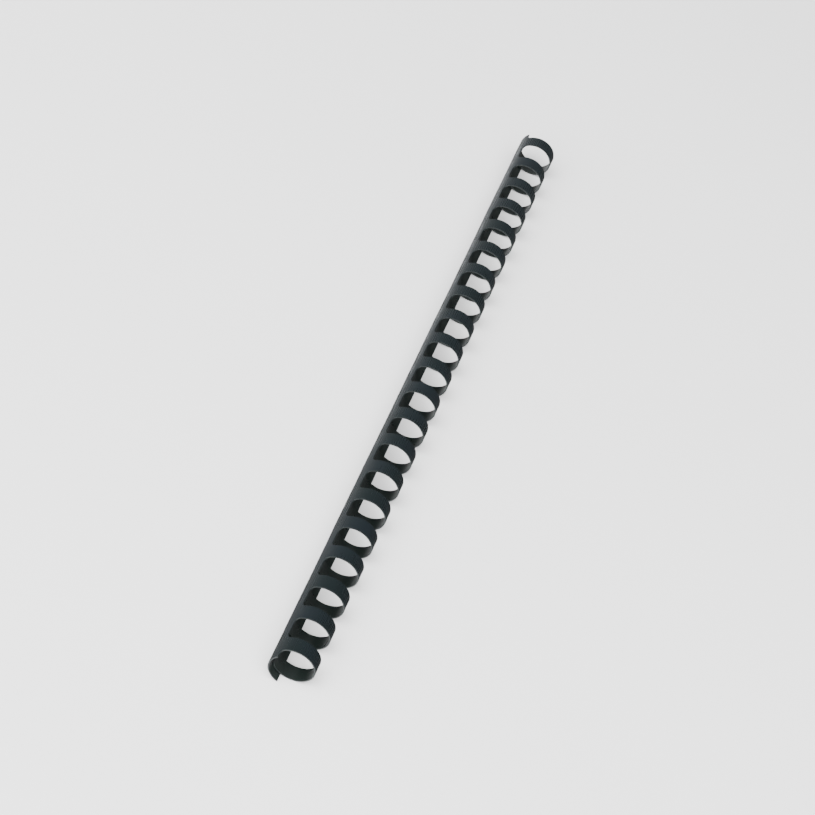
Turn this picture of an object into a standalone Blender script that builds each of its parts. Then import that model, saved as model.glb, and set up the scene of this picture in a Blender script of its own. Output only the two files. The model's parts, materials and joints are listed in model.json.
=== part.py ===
"""Plastic binding comb: an A4 spine strip with 21 curled rings for 16 mm punched documents.

The comb lies on a surface at z = 0. Its long axis is Y, its rings bulge towards +X and its
spine towards -X. Across the comb, every point is given by an angle about the comb's axis
(0 at +X, 90 at +Z, 180 at -X) and the radius of one spiral: outermost at the spine's free
edge, level at the rings' roots and tightest at the ring tips, which tuck in behind the spine.
Metres and degrees throughout; +Z is up and the origin is the centre of the resting footprint.
"""
import math

import bmesh
import bpy

# Along the comb
RING_COUNT = 21
RING_PITCH = 0.0142875          # 9/16 inch, the standard spacing of the punched slots
OVERALL_LENGTH = 0.297          # the long side of an A4 sheet
RING_WIDTH = 0.0055

# Across the comb
SHEET_THICKNESS = 0.0005
ROOT_RADIUS = 0.00775           # outside of the sheet where the rings leave the spine
SPINE_GROWTH = 0.00025          # how far the spine's free edge stands outside the root radius
RING_TIGHTENING = 0.00085       # loss of radius in one whole turn of a ring
ROOT_ANGLE = 138.0
TUCK_ANGLE = 47.0               # how far a ring tip reaches in behind the spine's free edge

# Where a ring bends: at its root and beyond its crown
ROOT_HINGE_ANGLE = 108.0
MIDDLE_HINGE_ANGLE = 30.0
HINGE_GAP = 0.0004              # clear space between the pieces that meet at a hinge line

# Rounded corners
ROOT_FILLET = 0.0020
TIP_CORNER = 0.0019

# Fineness of the curves
ARC_STEP = 7.0                  # degrees of sheet in one flat facet
CORNER_STEPS = 4
SHARP_ANGLE = 30.0              # edges that turn more than this stay crisp

FULL_TURN = 360.0


def ring_radius(angle):
    """Outer radius of a ring; the angle falls from the root angle towards the tip."""
    return ROOT_RADIUS - RING_TIGHTENING * (ROOT_ANGLE - angle) / FULL_TURN


def resting_edge_angle():
    """Angle of the spine's free edge that makes it touch the surface the rings rest on."""
    rings_bottom = ring_radius(-90.0)
    return 180.0 + math.degrees(math.asin(rings_bottom / (ROOT_RADIUS + SPINE_GROWTH)))


FREE_EDGE_ANGLE = resting_edge_angle()
TIP_ANGLE = FREE_EDGE_ANGLE - FULL_TURN - TUCK_ANGLE
AXIS_HEIGHT = ring_radius(-90.0)


def sheet_radius(angle):
    """Outer radius of the curled sheet at any angle from the tip to the free edge."""
    if angle <= ROOT_ANGLE:
        return ring_radius(angle)
    share = (angle - ROOT_ANGLE) / (FREE_EDGE_ANGLE - ROOT_ANGLE)
    return ROOT_RADIUS + SPINE_GROWTH * math.sin(share * math.pi / 2)


def about_axis(angle):
    """Outer point of the section at an angle, with the comb's axis at x = 0."""
    turn = math.radians(angle)
    radius = sheet_radius(angle)
    return radius * math.cos(turn), AXIS_HEIGHT + radius * math.sin(turn)


# The footprint is centred on the origin, so the comb's axis stands a little to one side.
AXIS_X = -(about_axis(0.0)[0] + about_axis(180.0)[0]) / 2


def section_point(angle):
    """Outer point (x, z) of the section at an angle, in the part's frame."""
    x, z = about_axis(angle)
    return AXIS_X + x, z


def arc_degrees(length, angle):
    """Angle that an arc of this length covers near an angle of the section."""
    return math.degrees(length / sheet_radius(angle))


def even_angles(start, end):
    """Angles from start to end, in equal steps no larger than ARC_STEP."""
    steps = max(1, math.ceil(abs(end - start) / ARC_STEP))
    return [start + (end - start) * i / steps for i in range(steps + 1)]


def corner_offsets(radius):
    """(along, in) distances of a rounded corner, from its far end to the edge it meets."""
    turns = [math.radians(90.0 * i / CORNER_STEPS) for i in range(CORNER_STEPS + 1)]
    return [(radius * (1 - math.sin(turn)), radius * (1 - math.cos(turn))) for turn in turns]


def ring_centre(index):
    """Y of a ring's middle; ring 0 is at the -Y end."""
    return (index - (RING_COUNT - 1) / 2) * RING_PITCH


def pvc_material(name):
    """Black PVC sheet with a satin face."""
    material = bpy.data.materials.new(name)
    material.use_nodes = True
    shader = material.node_tree.nodes["Principled BSDF"]
    shader.inputs["Base Color"].default_value = (0.028, 0.033, 0.038, 1.0)
    shader.inputs["Roughness"].default_value = 0.38
    shader.inputs["Metallic"].default_value = 0.0
    return material


def sheet_object(name, draw, origin):
    """Object made of the one-sided sheet that draw() makes, thickened towards the comb's axis."""
    sheet = bmesh.new()
    draw(sheet)
    bmesh.ops.translate(sheet, verts=sheet.verts, vec=[-value for value in origin])
    bmesh.ops.solidify(sheet, geom=sheet.faces[:], thickness=SHEET_THICKNESS)
    mesh = bpy.data.meshes.new(name)
    sheet.to_mesh(mesh)
    sheet.free()
    mesh.shade_smooth()
    mesh.set_sharp_from_angle(angle=math.radians(SHARP_ANGLE))
    mesh.materials.append(pvc_material(name + "_pvc"))
    piece = bpy.data.objects.new(name, mesh)
    piece.location = origin
    bpy.context.collection.objects.link(piece)
    return piece


def attach(child, parent, parent_origin):
    """Hang a child on its parent; its location is then counted from the parent's origin."""
    child.parent = parent
    child.location = [value - base for value, base in zip(child.location, parent_origin)]


def sweep(sheet, rows, first=None):
    """Faces through rows of (angle, list of Y), in falling angles; returns the last row.

    first is a row of vertices to start from. The faces look away from the comb's axis.
    """
    previous = first
    for angle, across in rows:
        x, z = section_point(angle)
        row = [sheet.verts.new((x, y, z)) for y in across]
        if previous:
            for i in range(len(row) - 1):
                sheet.faces.new((row[i], row[i + 1], previous[i + 1], previous[i]))
        previous = row
    return previous


def band_rows(centre, rows):
    """Rows of a band about a ring's middle, from rows of (angle, half width)."""
    return [(angle, (centre - half_width, centre + half_width)) for angle, half_width in rows]


def upper_rows():
    """Rows of the part of a ring between its root and its middle hinge."""
    start = ROOT_HINGE_ANGLE - arc_degrees(HINGE_GAP / 2, ROOT_HINGE_ANGLE)
    end = MIDDLE_HINGE_ANGLE + arc_degrees(HINGE_GAP / 2, MIDDLE_HINGE_ANGLE)
    return [(angle, RING_WIDTH / 2) for angle in even_angles(start, end)]


def lower_rows():
    """Rows of the part of a ring from its middle hinge to its rounded tip."""
    start = MIDDLE_HINGE_ANGLE - arc_degrees(HINGE_GAP / 2, MIDDLE_HINGE_ANGLE)
    corner = corner_offsets(TIP_CORNER)
    corner_rows = [(TIP_ANGLE + arc_degrees(along, TIP_ANGLE), RING_WIDTH / 2 - inset)
                   for along, inset in corner]
    straight = even_angles(start, corner_rows[0][0])
    return [(angle, RING_WIDTH / 2) for angle in straight] + corner_rows[1:]


def root_rows():
    """Rows of a ring's short root on the spine: a fillet, then straight to the root hinge."""
    fillet = [(ROOT_ANGLE - arc_degrees(along, ROOT_ANGLE), RING_WIDTH / 2 + extra)
              for along, extra in reversed(corner_offsets(ROOT_FILLET))]
    end = ROOT_HINGE_ANGLE + arc_degrees(HINGE_GAP / 2, ROOT_HINGE_ANGLE)
    straight = even_angles(fillet[-1][0], end)
    return fillet + [(angle, RING_WIDTH / 2) for angle in straight[1:]]


def spine_sheet(sheet):
    """The spine: a long curved strip, with the short root of every ring on its upper edge."""
    half_base = RING_WIDTH / 2 + ROOT_FILLET
    across = [-OVERALL_LENGTH / 2]
    for index in range(RING_COUNT):
        across += [ring_centre(index) - half_base, ring_centre(index) + half_base]
    across.append(OVERALL_LENGTH / 2)
    edge = sweep(sheet, [(angle, across) for angle in even_angles(FREE_EDGE_ANGLE, ROOT_ANGLE)])
    for index in range(RING_COUNT):
        base = edge[1 + 2 * index:3 + 2 * index]
        sweep(sheet, band_rows(ring_centre(index), root_rows()[1:]), first=base)


def remove_everything():
    """Start from an empty scene."""
    for item in list(bpy.data.objects):
        bpy.data.objects.remove(item, do_unlink=True)


def hinge_line(angle, centre):
    """Middle of the line on the outside of a ring that it bends about."""
    x, z = section_point(angle)
    return x, centre, z


def build_ring(index, spine):
    """Both halves of one ring, each with its origin on the hinge line that it turns about."""
    centre = ring_centre(index)
    name = f"ring_{index + 1:02d}"
    root_hinge = hinge_line(ROOT_HINGE_ANGLE, centre)
    middle_hinge = hinge_line(MIDDLE_HINGE_ANGLE, centre)
    upper = sheet_object(name + "_upper", lambda sheet: sweep(sheet, band_rows(centre, upper_rows())),
                         root_hinge)
    lower = sheet_object(name + "_lower", lambda sheet: sweep(sheet, band_rows(centre, lower_rows())),
                         middle_hinge)
    attach(upper, spine, (0.0, 0.0, 0.0))
    attach(lower, upper, root_hinge)


def main():
    """Build the spine and its rings."""
    remove_everything()
    spine = sheet_object("spine", spine_sheet, (0.0, 0.0, 0.0))
    for index in range(RING_COUNT):
        build_ring(index, spine)


main()
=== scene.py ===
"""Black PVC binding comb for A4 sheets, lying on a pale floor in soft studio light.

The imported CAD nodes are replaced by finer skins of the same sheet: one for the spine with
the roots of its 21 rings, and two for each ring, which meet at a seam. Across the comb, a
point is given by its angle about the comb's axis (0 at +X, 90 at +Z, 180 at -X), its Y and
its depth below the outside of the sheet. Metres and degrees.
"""
import json
import math
import random

import bmesh
import bpy
import numpy as np
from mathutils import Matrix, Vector


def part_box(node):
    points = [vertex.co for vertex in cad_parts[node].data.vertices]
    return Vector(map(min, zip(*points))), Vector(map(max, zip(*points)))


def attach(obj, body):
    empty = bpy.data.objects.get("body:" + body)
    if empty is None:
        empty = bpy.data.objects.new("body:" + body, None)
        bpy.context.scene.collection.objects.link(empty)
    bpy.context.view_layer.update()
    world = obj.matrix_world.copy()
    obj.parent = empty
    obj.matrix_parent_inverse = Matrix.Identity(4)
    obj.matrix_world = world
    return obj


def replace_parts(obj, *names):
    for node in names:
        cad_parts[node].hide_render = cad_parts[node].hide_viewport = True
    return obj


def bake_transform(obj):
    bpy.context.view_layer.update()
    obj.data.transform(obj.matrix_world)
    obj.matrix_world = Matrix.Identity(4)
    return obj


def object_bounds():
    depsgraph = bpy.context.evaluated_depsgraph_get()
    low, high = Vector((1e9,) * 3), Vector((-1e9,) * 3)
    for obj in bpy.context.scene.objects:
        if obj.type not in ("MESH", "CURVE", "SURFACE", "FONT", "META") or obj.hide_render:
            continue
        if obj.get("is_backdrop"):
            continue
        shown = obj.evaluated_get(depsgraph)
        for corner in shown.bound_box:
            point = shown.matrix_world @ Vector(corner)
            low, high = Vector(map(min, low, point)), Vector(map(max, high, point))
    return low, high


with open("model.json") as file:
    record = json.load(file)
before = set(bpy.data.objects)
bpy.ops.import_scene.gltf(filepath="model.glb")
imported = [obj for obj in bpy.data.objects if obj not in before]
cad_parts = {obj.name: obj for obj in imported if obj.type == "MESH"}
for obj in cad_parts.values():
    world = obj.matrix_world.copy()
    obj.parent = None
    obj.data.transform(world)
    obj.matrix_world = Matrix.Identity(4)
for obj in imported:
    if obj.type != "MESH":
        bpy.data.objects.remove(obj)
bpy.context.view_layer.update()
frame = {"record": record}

JOINTS = {joint["name"]: joint for joint in frame["record"]["behaviour"]["joints"]}
RING_COUNT = sum(name.endswith("_root") for name in JOINTS)

# The sheet
THICKNESS = 0.0005
RING_WIDTH = 0.0055
ROOT_RADIUS = 0.00775           # outside of the sheet where the rings leave the spine
SPINE_GROWTH = 0.00025          # how far the free edge stands outside the root radius
RING_TIGHTENING = 0.00085       # loss of radius in one whole turn of a ring
ROOT_ANGLE = 138.0
TUCK_ANGLE = 47.0               # how far a tip reaches in behind the free edge
ROOT_FILLET = 0.0020
TIP_CORNER = 0.0019
FULL_TURN = 360.0

# Where the rings bend, and where the two skins of a ring meet
ROOT_HINGE_ANGLE = 108.0
RING_SEAM_ANGLE = 59.0

# Small unevenness of a real comb
WAVE_HEIGHT = 0.00003
WAVES = (                       # share of the height, turn per metre along, turns round the curl
    (1.0, 75.0, 2.1),
    (0.6, 171.0, -1.0),
    (0.35, 390.0, 3.0),
)
TIP_LEAN = 0.00022              # most that a tip stands to one side
TIP_PRESS = (0.00029, 0.00035)  # how far a tip stands out, towards the spine that holds it
PRESS_ONSET = 6                 # how late along the ring that begins, as a power
SEED = 21

# Fineness
RING_STEP = 2.5                 # degrees of sheet in one row of faces
EDGE_ROUND = 0.00008            # radius of the cut edges
EDGE_STEPS = 2
CORNER_STEPS = 9
SUPPORT = 0.00006               # width of the narrow faces that keep the shading even
ACROSS = (-0.6, -0.2, 0.2, 0.6)
COLUMN = 0.0014                 # width of the faces between the rings
SHARP_ANGLE = 50.0              # edges that turn more than this stay crisp
SAME_PLACE = 1e-9

# Colours
FACE_TINTS = ((0.0032, 0.0062, 0.0064, 1.0), (0.0042, 0.0070, 0.0092, 1.0))
FACE_GRAIN_TINT = (0.0085, 0.0115, 0.0130, 1.0)
SCUFF_TINT = (0.030, 0.034, 0.037, 1.0)
# Painted highlight: the pale colour of the thin streaks along the back
PAINTED_HIGHLIGHT_TINT = (0.40, 0.42, 0.44, 1.0)
# Painted light: the inner face's tints are lighter than the outer face's, to lift the inside of
# the curl out of its shade
INSIDE_TINTS_WITH_PAINTED_LIGHT = ((0.0066, 0.0104, 0.0092, 1.0), (0.0094, 0.0130, 0.0120, 1.0))
INSIDE_GRAIN_TINT = (0.0160, 0.0200, 0.0180, 1.0)
CUT_TINTS = ((0.0060, 0.0090, 0.0090, 1.0), (0.0160, 0.0200, 0.0200, 1.0))
CUT_PATCH_TINT = (0.030, 0.034, 0.034, 1.0)
FLOOR_TINTS = ((0.86, 0.86, 0.86, 1.0), (0.90, 0.90, 0.90, 1.0))

# Noises: scale per metre, detail and roughness. A scale of three numbers stretches a noise;
# they are the scales round the curl, along the comb and across both.
FACE_GRAIN = (3600.0, 4.0, 0.60)
FACE_PITS = (9500.0, 2.0, 0.55)
FACE_SWELL = (260.0, 2.0, 0.40)
FACE_CLOUD = (45.0, 3.0, 0.50)
ROLL_LINES = ((2600.0, 45.0, 1.0), 5.0, 0.55)
SCUFFS = ((1500.0, 130.0, 1.0), 6.0, 0.70)
PAINTED_HIGHLIGHT_WAVER = ((0.0, 62.0, 1.0), 3.0, 0.60)
PAINTED_HIGHLIGHT_BREAKS = (150.0, 4.0, 0.70)     # its scale round the curl is the angle of the painted highlight streak
INSIDE_GRAIN = (2300.0, 4.0, 0.65)
INSIDE_CLOUD = (210.0, 3.0, 0.50)
DIE_LINES = (7000.0, 4.0, 0.65)
CUT_PATCHES = (700.0, 3.0, 0.55)
FLOOR_MOTTLE = (6.0, 5.0, 0.60)

# The noise between which something shows, and how strongly where that isn't 0 to 1
FACE_GRAIN_SHOWS = ((0.45, 0.8), (0.0, 0.5))
SCUFFS_SHOW = (0.60, 0.74)
SCUFFED_AREAS = (0.42, 0.62)
INSIDE_GRAIN_SHOWS = ((0.45, 0.75), (0.0, 0.6))
DIE_LINES_SHOW = (0.35, 0.7)
CUT_PATCHES_SHOW = ((0.52, 0.7), (0.0, 0.6))
ROLL_LINES_SPREAD = (0.25, 0.75)
NOISE_SPREAD = (0.3, 0.7)           # where nearly all of a noise's values lie

# Gloss
PVC_IOR = 1.50
FACE_ROUGHNESS = (0.24, 0.30)
CLOUD_ROUGHNESS = (-0.03, 0.05)     # added to the face's
SCUFF_ROUGHNESS = 0.12              # added to the face's
SCUFF_STRENGTH = 0.25
INSIDE_ROUGHNESS = (0.26, 0.36)
INSIDE_SHEEN = 0.12
INSIDE_SHEEN_ROUGHNESS = 0.30
CUT_ROUGHNESS = (0.42, 0.60)
FLOOR_ROUGHNESS = (0.85, 0.95)
FLOOR_SPECULAR = 0.2

# Heights of the relief
SWELL_HEIGHT = 0.00003
ROLL_LINE_HEIGHT = 0.0000015
FACE_GRAIN_HEIGHT = 0.000006
PIT_HEIGHT = 0.000002
INSIDE_GRAIN_HEIGHT = 0.000014
DIE_LINE_HEIGHT = 0.00002

# Painted highlight streaks along the back: angle, sway, half width, and the noise between which
# they appear
PAINTED_HIGHLIGHT_LINES = (
    (155.0, 0.0014, 0.00010, 0.40, 0.68),
    (149.0, 0.0012, 0.00008, 0.46, 0.72),
)
PAINTED_HIGHLIGHT_SPREAD = (-0.06, 0.0)       # Y at which they begin and are at their full strength
PAINTED_HIGHLIGHT_CORE = 0.4                  # share of a streak's width that has the full painted highlight

# The studio
FLOOR_RADIUS = 6.0
FLOOR_SIDES = 96
FLOOR_GAP = 0.00002
WORLD_COLOUR = (0.965, 0.985, 1.0, 1.0)
WORLD_STRENGTH = 0.29
WORLD_SLOPE = (-0.12, 0.0, 0.09)    # change of strength towards +X, +Y and +Z
GLOW_TOWARDS = (-0.45, 0.85, -0.25)
GLOW_SHARPNESS = 26.0
GLOW_STRENGTH = 0.8
PANEL_EDGE = (-0.161, 0.873, -0.459)
PANEL_EDGE_AT = (0.40, 0.43)
PANEL_SIDES = (                     # direction, and where the panel begins and is full there
    ((1.0, 0.0, 0.0), (0.20, 0.0)),
    ((0.0, 0.0, 1.0), (-0.45, 0.0)),
)
PANEL_STRENGTH = 0.20
GROUND_TOWARDS = (0.0, -0.70, -0.71)
GROUND_AT = (0.1, 1.0)
GROUND_STRENGTH = 3.2
SHADE_TOWARDS = (0.0, 0.60, -0.80)
SHADE_SHARPNESS = 24.0
SHADE_STRENGTH = 0.15
LIGHTS = (                          # name, place, size and power
    ("top", (0.0, -0.75, 1.15), 2.2, 95.0),
    ("key", (-0.7, -0.55, 0.8), 1.6, 20.0),
)
CAMERA_PLACE = (0.038847, -0.572061, 0.576105)
CAMERA_TURN = (42.5876, -13.5058, 18.5383)
CAMERA_LENS = 96.953                # millimetres, as is the sensor
CAMERA_SENSOR = 36.0
CAMERA_RANGE = (0.01, 20.0)


class Shading:
    """A node tree, with short calls for the nodes that it is made of."""

    def __init__(self, tree):
        self.tree = tree

    def add(self, kind, **inputs):
        """New node with its named inputs set; an underscore in a name stands for a space."""
        made = self.tree.nodes.new(kind)
        for name, value in inputs.items():
            self.feed(made.inputs[name.replace("_", " ")], value)
        return made

    def feed(self, socket, value):
        """Links a socket to an input, or sets the input to a number, colour or vector."""
        if isinstance(value, bpy.types.NodeSocket):
            self.tree.links.new(value, socket)
        else:
            socket.default_value = value

    def noise(self, place, scale, detail, rough):
        """Noise at a place; a scale of three numbers stretches it."""
        if isinstance(scale, tuple):
            place = self.add("ShaderNodeMapping", Vector=place, Scale=scale).outputs["Vector"]
            scale = 1.0
        made = self.add("ShaderNodeTexNoise", Vector=place, Scale=scale, Detail=detail,
                        Roughness=rough)
        return made.outputs["Fac"]

    def remap(self, value, source, target=(0.0, 1.0)):
        """The value taken from one range to another, clamped."""
        made = self.add("ShaderNodeMapRange", Value=value, From_Min=source[0], From_Max=source[1],
                        To_Min=target[0], To_Max=target[1])
        return made.outputs["Result"]

    def maths(self, operation, *values):
        """Maths on sockets and numbers."""
        made = self.add("ShaderNodeMath")
        made.operation = operation
        for socket, value in zip(made.inputs, values):
            self.feed(socket, value)
        return made.outputs["Value"]

    def dotted(self, vector, direction):
        """Dot product of a vector socket and a fixed direction."""
        made = self.add("ShaderNodeVectorMath")
        made.operation = "DOT_PRODUCT"
        self.feed(made.inputs[0], vector)
        self.feed(made.inputs[1], direction)
        return made.outputs["Value"]

    def lobe(self, vector, direction, sharpness):
        """Soft spot of strength 1 towards a direction."""
        towards = self.dotted(vector, Vector(direction).normalized())
        return self.maths("POWER", self.maths("MAXIMUM", towards, 0.0), sharpness)

    def mixed(self, factor, first, second):
        """Colour between two colours, which are sockets or fixed colours."""
        made = self.tree.nodes.new("ShaderNodeMix")
        made.data_type = "RGBA"
        colours = [socket for socket in made.inputs if socket.type == "RGBA"]
        self.feed(made.inputs["Factor"], factor)
        for socket, colour in zip(colours, (first, second)):
            self.feed(socket, colour)
        return next(socket for socket in made.outputs if socket.type == "RGBA")

    def bumped(self, *reliefs):
        """Normal bumped by pairs of a relief socket and its full height."""
        normal = None
        for relief, height in reliefs:
            made = self.add("ShaderNodeBump", Height=relief, Strength=1.0, Distance=height)
            if normal:
                self.feed(made.inputs["Normal"], normal)
            normal = made.outputs["Normal"]
        return normal

    def sheet_place(self):
        """The place on the flat sheet, in metres: X round the curl and Y along the comb."""
        made = self.add("ShaderNodeUVMap")
        made.uv_map = "sheet"
        return made.outputs["UV"]

    def surface(self, colour, roughness, normal=None, **inputs):
        """Feeds the inputs of the material's own shader."""
        shader = self.tree.nodes["Principled BSDF"]
        self.feed(shader.inputs["Base Color"], colour)
        self.feed(shader.inputs["Roughness"], roughness)
        if normal:
            self.feed(shader.inputs["Normal"], normal)
        for name, value in inputs.items():
            self.feed(shader.inputs[name.replace("_", " ")], value)


def new_material(name):
    """New node material; returns it and its Shading."""
    material = bpy.data.materials.new(name)
    material.use_nodes = True
    return material, Shading(material.node_tree)


def painted_highlight_streaks(shading, place):
    """Factor of the thin, wavering, broken lines of painted highlight along the back."""
    flat = shading.add("ShaderNodeSeparateXYZ", Vector=place)
    waver = shading.noise(place, *PAINTED_HIGHLIGHT_WAVER)
    breaks_along, *fineness = PAINTED_HIGHLIGHT_BREAKS
    found = None
    for angle, sway, width, low, high in PAINTED_HIGHLIGHT_LINES:
        middle = math.radians(angle) * ROOT_RADIUS - 0.5 * sway
        line = shading.maths("MULTIPLY_ADD", waver, sway, middle)
        gap = shading.maths("ABSOLUTE", shading.maths("SUBTRACT", flat.outputs["X"], line))
        streak = shading.remap(gap, (width, PAINTED_HIGHLIGHT_CORE * width))
        breaks = shading.noise(place, (angle, breaks_along, 1.0), *fineness)
        streak = shading.maths("MULTIPLY", streak, shading.remap(breaks, (low, high)))
        found = shading.maths("MAXIMUM", found, streak) if found else streak
    return shading.maths("MULTIPLY", found, shading.remap(flat.outputs["Y"], PAINTED_HIGHLIGHT_SPREAD))


def pvc_face():
    """Calendered face of the black PVC: satin, with fine grain, roll lines, light scuffs and
    painted highlight streaks.
    """
    material, shading = new_material("black_pvc_face")
    place = shading.sheet_place()
    grain = shading.noise(place, *FACE_GRAIN)
    pits = shading.noise(place, *FACE_PITS)
    swell = shading.noise(place, *FACE_SWELL)
    cloud = shading.noise(place, *FACE_CLOUD)
    roll_lines = shading.noise(place, *ROLL_LINES)
    scuffs = shading.remap(shading.noise(place, *SCUFFS), SCUFFS_SHOW)
    scuffs = shading.maths("MULTIPLY", scuffs, shading.remap(cloud, SCUFFED_AREAS))

    tint = shading.mixed(shading.remap(cloud, NOISE_SPREAD), *FACE_TINTS)
    tint = shading.mixed(shading.remap(grain, *FACE_GRAIN_SHOWS), tint, FACE_GRAIN_TINT)
    tint = shading.mixed(shading.maths("MULTIPLY", scuffs, SCUFF_STRENGTH), tint, SCUFF_TINT)
    # Painted highlight: thin pale streaks along the back
    tint = shading.mixed(painted_highlight_streaks(shading, place), tint, PAINTED_HIGHLIGHT_TINT)

    rough = shading.remap(roll_lines, ROLL_LINES_SPREAD, FACE_ROUGHNESS)
    rough = shading.maths("ADD", rough, shading.remap(cloud, NOISE_SPREAD, CLOUD_ROUGHNESS))
    rough = shading.maths("ADD", rough, shading.maths("MULTIPLY", scuffs, SCUFF_ROUGHNESS))

    normal = shading.bumped((swell, SWELL_HEIGHT), (roll_lines, ROLL_LINE_HEIGHT),
                            (grain, FACE_GRAIN_HEIGHT), (pits, PIT_HEIGHT))
    shading.surface(tint, rough, normal, IOR=PVC_IOR)
    return material


def pvc_cut():
    """Die-cut edge of the same sheet: paler and rougher, with the die's fine marks."""
    material, shading = new_material("black_pvc_cut_edge")
    place = shading.sheet_place()
    die_lines = shading.noise(place, *DIE_LINES)
    patches = shading.noise(place, *CUT_PATCHES)
    tint = shading.mixed(shading.remap(die_lines, DIE_LINES_SHOW), *CUT_TINTS)
    tint = shading.mixed(shading.remap(patches, *CUT_PATCHES_SHOW), tint, CUT_PATCH_TINT)
    rough = shading.remap(patches, NOISE_SPREAD, CUT_ROUGHNESS)
    shading.surface(tint, rough, shading.bumped((die_lines, DIE_LINE_HEIGHT)), IOR=PVC_IOR)
    return material


def pvc_inside():
    """Inner face of the same sheet: dull, with a coarse grain and the bloom of old PVC, and
    painted light in a colour lighter than the outer face's.
    """
    material, shading = new_material("black_pvc_inside")
    place = shading.sheet_place()
    grain = shading.noise(place, *INSIDE_GRAIN)
    cloud = shading.noise(place, *INSIDE_CLOUD)
    # Painted light: a lighter copy of the sheet's colour on the inner face
    tint = shading.mixed(shading.remap(cloud, NOISE_SPREAD), *INSIDE_TINTS_WITH_PAINTED_LIGHT)
    tint = shading.mixed(shading.remap(grain, *INSIDE_GRAIN_SHOWS), tint, INSIDE_GRAIN_TINT)
    rough = shading.remap(cloud, NOISE_SPREAD, INSIDE_ROUGHNESS)
    shading.surface(tint, rough, shading.bumped((grain, INSIDE_GRAIN_HEIGHT)), IOR=PVC_IOR,
                    Sheen_Weight=INSIDE_SHEEN, Sheen_Roughness=INSIDE_SHEEN_ROUGHNESS)
    return material


def floor_paint():
    """Pale matt studio floor with a faint mottling."""
    material, shading = new_material("studio_floor")
    place = shading.add("ShaderNodeTexCoord").outputs["Object"]
    mottle = shading.noise(place, *FLOOR_MOTTLE)
    rough = shading.remap(mottle, NOISE_SPREAD, FLOOR_ROUGHNESS)
    shading.surface(shading.mixed(mottle, *FLOOR_TINTS), rough,
                    Specular_IOR_Level=FLOOR_SPECULAR)
    return material


PVC = (pvc_face(), pvc_cut(), pvc_inside())
FACE, CUT, INSIDE = range(3)


def ring_radius(angle):
    """Outer radius of a ring; the angle falls from the root angle towards the tip."""
    return ROOT_RADIUS - RING_TIGHTENING * (ROOT_ANGLE - angle) / FULL_TURN


FREE_EDGE_ANGLE = 180.0 + math.degrees(
    math.asin(ring_radius(-90.0) / (ROOT_RADIUS + SPINE_GROWTH)))
TIP_ANGLE = FREE_EDGE_ANGLE - FULL_TURN - TUCK_ANGLE


def sheet_radius(angle):
    """Outer radius of the curled sheet at any angle from the tip to the free edge."""
    if angle <= ROOT_ANGLE:
        return ring_radius(angle)
    share = (angle - ROOT_ANGLE) / (FREE_EDGE_ANGLE - ROOT_ANGLE)
    return ROOT_RADIUS + SPINE_GROWTH * math.sin(share * math.pi / 2)


def comb_axis():
    """(x, z) of the comb's axis, from the place of the first ring's root joint."""
    x, _, z = JOINTS["ring_01_root"]["pos_m"]
    turn = math.radians(ROOT_HINGE_ANGLE)
    radius = sheet_radius(ROOT_HINGE_ANGLE)
    return x - radius * math.cos(turn), z - radius * math.sin(turn)


AXIS_X, AXIS_Z = comb_axis()
RING_CENTRES = [JOINTS[f"ring_{i + 1:02d}_root"]["pos_m"][1] for i in range(RING_COUNT)]
SPINE_START, SPINE_END = (corner.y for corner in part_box("spine"))


def wave(angle, y):
    """Unevenness left by the heat curling: long, shallow waves along the comb."""
    turn = math.radians(angle)
    return WAVE_HEIGHT * sum(share * math.sin(y * along + turns * turn)
                             for share, along, turns in WAVES)


def sheet_point(angle, y, depth=0.0, lean=0.0, press=0.0):
    """Point in or on the sheet; lean and press are how far this ring's tip strays."""
    share = max(0.0, (ROOT_ANGLE - angle) / (ROOT_ANGLE - TIP_ANGLE))
    radius = sheet_radius(angle) - depth + wave(angle, y) + press * share ** PRESS_ONSET
    turn = math.radians(angle)
    return Vector((AXIS_X + radius * math.cos(turn), y + lean * share * share,
                   AXIS_Z + radius * math.sin(turn)))


def arc_length(angle):
    """Place of an angle round the flat sheet, in metres."""
    return math.radians(angle) * ROOT_RADIUS


def arc_angle(length):
    """Angle of a place round the flat sheet."""
    return math.degrees(length / ROOT_RADIUS)


def even(start, end, step):
    """Values from start to end in equal steps no larger than step."""
    count = max(1, math.ceil(abs(end - start) / step))
    return [start + (end - start) * i / count for i in range(count + 1)]


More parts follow.
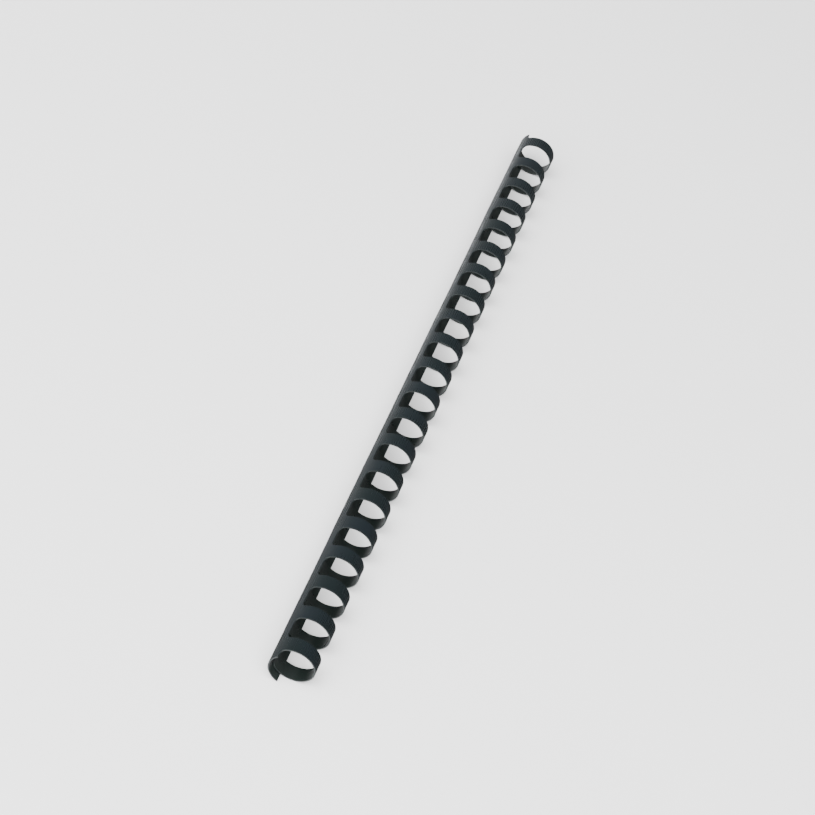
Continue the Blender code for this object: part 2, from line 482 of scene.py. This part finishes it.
class Sheet:
    """A piece of sheet laid out flat as a grid of (arc length, y), then curled and closed.

    The grid stops short of the real outline by the radius of the rounded cut edge.
    """

    def __init__(self):
        self.points = []
        self.faces = []

    def sweep(self, rows, previous=None):
        """Adds faces through rows of (angle, ys) in falling angles; returns the last row."""
        for angle, ys in rows:
            start = len(self.points)
            self.points += [np.array((arc_length(angle), y)) for y in ys]
            row = list(range(start, start + len(ys)))
            if previous:
                for i in range(len(row) - 1):
                    self.faces.append((row[i], row[i + 1], previous[i + 1], previous[i]))
            previous = row
        return previous

    def rim(self):
        """Directed edges of the outline; on the flat sheet, the outside is on their left."""
        edges = [(a, face[(i + 1) % 4]) for face in self.faces for i, a in enumerate(face)]
        known = set(edges)
        return [(a, b) for a, b in edges if (b, a) not in known]

    def outward(self, rim):
        """For each vertex of the outline, the flat step that moves its edges out by one."""
        normals = {}
        for a, b in rim:
            along = self.points[b] - self.points[a]
            normal = np.array((-along[1], along[0])) / np.linalg.norm(along)
            normals.setdefault(a, []).append(normal)
            normals.setdefault(b, []).append(normal)
        return {index: (found[0] + found[-1]) / (1.0 + float(found[0] @ found[-1]))
                for index, found in normals.items()}

    def build(self, name, seams=(), **stray):
        """Closed object of the sheet; seams are angles where it meets another skin."""
        mesh = bmesh.new()
        layout = {}

        def vertex(flat, depth):
            made = mesh.verts.new(sheet_point(arc_angle(flat[0]), flat[1], depth, **stray))
            layout[made] = (flat[0] + depth, flat[1])
            return made

        def on_seam(edge):
            return any(all(abs(self.points[i][0] - arc_length(seam)) < SAME_PLACE for i in edge)
                       for seam in seams)

        rim = self.rim()
        cut = [edge for edge in rim if not on_seam(edge)]
        outer = [vertex(flat, 0.0) for flat in self.points]
        inner = [vertex(flat, THICKNESS) for flat in self.points]
        for face in self.faces:
            mesh.faces.new([outer[i] for i in face]).material_index = FACE
            mesh.faces.new([inner[i] for i in reversed(face)]).material_index = INSIDE
        chains = {}
        for index, step in self.outward(cut).items():
            middle = [vertex(self.points[index] + step * out, depth)
                      for out, depth in edge_profile()]
            chains[index] = [outer[index]] + middle + [inner[index]]
        for a, b in cut:
            for j in range(len(chains[a]) - 1):
                side = mesh.faces.new((chains[b][j], chains[a][j],
                                       chains[a][j + 1], chains[b][j + 1]))
                side.material_index = CUT
        for line in joined([edge for edge in rim if on_seam(edge)]):
            cap = [outer[i] for i in line] + chains[line[-1]][1:-1]
            cap += [inner[i] for i in reversed(line)] + chains[line[0]][-2:0:-1]
            mesh.faces.new(cap)
        return finished(mesh, layout, name)


def edge_profile():
    """(out, depth) of the points that round a cut edge, from the outside to the inside."""
    turns = [math.pi / 2 * i / EDGE_STEPS for i in range(1, EDGE_STEPS + 1)]
    top = [(EDGE_ROUND * math.sin(t), EDGE_ROUND * (1 - math.cos(t))) for t in turns]
    return top + [(out, THICKNESS - depth) for out, depth in reversed(top)]


def joined(edges):
    """Lines of vertices from directed edges."""
    following = dict(edges)
    ends = set(following.values())
    lines = []
    for start in following:
        if start not in ends:
            line = [start]
            while line[-1] in following:
                line.append(following[line[-1]])
            lines.append(line)
    return lines


def finished(mesh, layout, name):
    """Object from a closed bmesh, with its flat layout as the UV map "sheet"."""
    bmesh.ops.recalc_face_normals(mesh, faces=mesh.faces[:])
    place = mesh.loops.layers.uv.new("sheet")
    for face in mesh.faces:
        for loop in face.loops:
            loop[place].uv = layout[loop.vert]
    data = bpy.data.meshes.new(name)
    mesh.to_mesh(data)
    mesh.free()
    data.shade_smooth()
    data.set_sharp_from_angle(angle=math.radians(SHARP_ANGLE))
    for material in PVC:
        data.materials.append(material)
    piece = bpy.data.objects.new(name, data)
    bpy.context.scene.collection.objects.link(piece)
    return piece


def across(centre, half):
    """Y of the columns of a band, with a narrow column along each edge."""
    inside = [half * share for share in ACROSS]
    return [centre + y for y in (-half, SUPPORT - half, *inside, half - SUPPORT, half)]


RING_HALF = RING_WIDTH / 2 - EDGE_ROUND
ROOT_HALF = RING_WIDTH / 2 + ROOT_FILLET
FILLET_END = arc_angle(arc_length(ROOT_ANGLE) - ROOT_FILLET)
TIP_CORNER_START = arc_angle(arc_length(TIP_ANGLE) + TIP_CORNER)


def quarter():
    """Sine and cosine at even steps of a quarter turn, from 0 to 90 degrees."""
    turns = [math.pi / 2 * i / CORNER_STEPS for i in range(CORNER_STEPS + 1)]
    return [(math.sin(turn), math.cos(turn)) for turn in turns]


def fillet_rows(centre):
    """Rows of a ring's root, from the spine's upper edge down to the ring's own width."""
    radius = ROOT_FILLET + EDGE_ROUND
    return [(arc_angle(arc_length(FILLET_END) + radius * sine),
             across(centre, ROOT_HALF - radius * cosine)) for sine, cosine in reversed(quarter())]


def tip_rows(centre):
    """Rows of a ring's rounded tip."""
    radius = TIP_CORNER - EDGE_ROUND
    return [(arc_angle(arc_length(TIP_CORNER_START) - radius * sine),
             across(centre, RING_WIDTH / 2 - TIP_CORNER + radius * cosine))
            for sine, cosine in quarter()]


def band_rows(centre, start, end):
    """Rows of a ring at its full width."""
    return [(angle, across(centre, RING_HALF)) for angle in even(start, end, RING_STEP)]


def spine_columns():
    """Y of the spine's columns, which contain every ring's root columns."""
    columns = [SPINE_START + EDGE_ROUND, SPINE_START + EDGE_ROUND + SUPPORT]
    for centre in RING_CENTRES:
        root = across(centre, ROOT_HALF)
        last = columns.pop()
        columns += even(last, root[0], COLUMN)[:-1] + root
    end = SPINE_END - EDGE_ROUND
    return columns[:-1] + even(columns[-1], end - SUPPORT, COLUMN) + [end]


def spine_skin():
    """The spine with the filleted roots of all its rings."""
    columns = spine_columns()
    support = arc_angle(SUPPORT)
    top = FREE_EDGE_ANGLE - arc_angle(EDGE_ROUND)
    bottom = ROOT_ANGLE + arc_angle(EDGE_ROUND)
    angles = [top] + even(top - support, bottom + support, RING_STEP) + [bottom]
    sheet = Sheet()
    edge = sheet.sweep([(angle, columns) for angle in angles])
    for centre in RING_CENTRES:
        rows = fillet_rows(centre)
        root = rows[0][1]
        first = columns.index(root[0])
        sheet.sweep(rows[1:], previous=edge[first:first + len(root)])
    piece = sheet.build("spine_skin", seams=(FILLET_END,))
    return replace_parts(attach(piece, "spine"), "spine")


def bend_along_x(piece):
    """Bakes the placing of a skin that runs along X into its mesh; nothing bends it."""
    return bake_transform(piece)


def bend_along_z(piece):
    """Bakes the placing of a skin that runs along Z into its mesh; nothing bends it."""
    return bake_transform(piece)


def ring_skins(name, centre, stray):
    """The two skins of one ring."""
    sheet = Sheet()
    sheet.sweep(band_rows(centre, FILLET_END, RING_SEAM_ANGLE))
    upper = sheet.build(name + "_upper_skin", seams=(FILLET_END, RING_SEAM_ANGLE), **stray)
    bend_along_x(upper)
    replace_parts(upper, name + "_upper")

    sheet = Sheet()
    sheet.sweep(band_rows(centre, RING_SEAM_ANGLE, TIP_CORNER_START) + tip_rows(centre)[1:])
    lower = sheet.build(name + "_lower_skin", seams=(RING_SEAM_ANGLE,), **stray)
    bend_along_z(lower)
    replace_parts(lower, name + "_lower")


def comb():
    """Every skin of the comb."""
    spine_skin()
    chance = random.Random(SEED)
    for index, centre in enumerate(RING_CENTRES):
        stray = {"lean": chance.uniform(-TIP_LEAN, TIP_LEAN),
                 "press": chance.uniform(*TIP_PRESS)}
        ring_skins(f"ring_{index + 1:02d}", centre, stray)


def studio_floor():
    """Large pale disc, just below the comb."""
    mesh = bmesh.new()
    bmesh.ops.create_circle(mesh, cap_ends=True, segments=FLOOR_SIDES, radius=FLOOR_RADIUS)
    data = bpy.data.meshes.new("studio_floor")
    mesh.to_mesh(data)
    mesh.free()
    data.materials.append(floor_paint())
    floor = bpy.data.objects.new("studio_floor", data)
    floor.location.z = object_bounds()[0].z - FLOOR_GAP
    bpy.context.scene.collection.objects.link(floor)
    floor.visible_glossy = False
    floor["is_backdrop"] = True


def soft_light(name, place, size, power):
    """Square soft box that looks at the comb's middle and isn't seen in the comb's gloss."""
    data = bpy.data.lights.new(name, "AREA")
    data.shape = "SQUARE"
    data.size = size
    data.energy = power
    light = bpy.data.objects.new(name, data)
    light.location = place
    light.rotation_euler = (-Vector(place)).to_track_quat("-Z", "Y").to_euler()
    bpy.context.scene.collection.objects.link(light)
    light.visible_glossy = False


def surroundings():
    """Soft surroundings that the comb mirrors: a slope of light with brighter and darker spots."""
    world = bpy.data.worlds.new("studio")
    world.use_nodes = True
    shading = Shading(world.node_tree)
    away = shading.add("ShaderNodeTexCoord").outputs["Generated"]

    glow = shading.lobe(away, GLOW_TOWARDS, GLOW_SHARPNESS)
    glow = shading.maths("MULTIPLY", glow, GLOW_STRENGTH)
    panel = shading.remap(shading.dotted(away, PANEL_EDGE), PANEL_EDGE_AT)
    for direction, edge in PANEL_SIDES:
        side = shading.remap(shading.dotted(away, direction), edge)
        panel = shading.maths("MULTIPLY", panel, side)
    panel = shading.maths("MULTIPLY", panel, PANEL_STRENGTH)
    ground = shading.dotted(away, GROUND_TOWARDS)
    ground = shading.remap(ground, GROUND_AT, (0.0, GROUND_STRENGTH))
    shade = shading.lobe(away, SHADE_TOWARDS, SHADE_SHARPNESS)
    shade = shading.maths("MULTIPLY", shade, -SHADE_STRENGTH)

    strength = shading.maths("ADD", shading.dotted(away, WORLD_SLOPE), WORLD_STRENGTH)
    for part in (glow, panel, ground, shade):
        strength = shading.maths("ADD", strength, part)
    background = world.node_tree.nodes["Background"]
    shading.feed(background.inputs["Strength"], strength)
    shading.feed(background.inputs["Color"], WORLD_COLOUR)
    bpy.context.scene.world = world


def photo_camera():
    """Camera on the near end's side, looking down along the comb."""
    data = bpy.data.cameras.new("camera")
    data.sensor_width = CAMERA_SENSOR
    data.lens = CAMERA_LENS
    data.clip_start, data.clip_end = CAMERA_RANGE
    camera = bpy.data.objects.new("camera", data)
    camera.location = CAMERA_PLACE
    camera.rotation_euler = [math.radians(turn) for turn in CAMERA_TURN]
    bpy.context.scene.collection.objects.link(camera)
    bpy.context.scene.camera = camera


comb()
studio_floor()
surroundings()
for light_values in LIGHTS:
    soft_light(*light_values)
photo_camera()
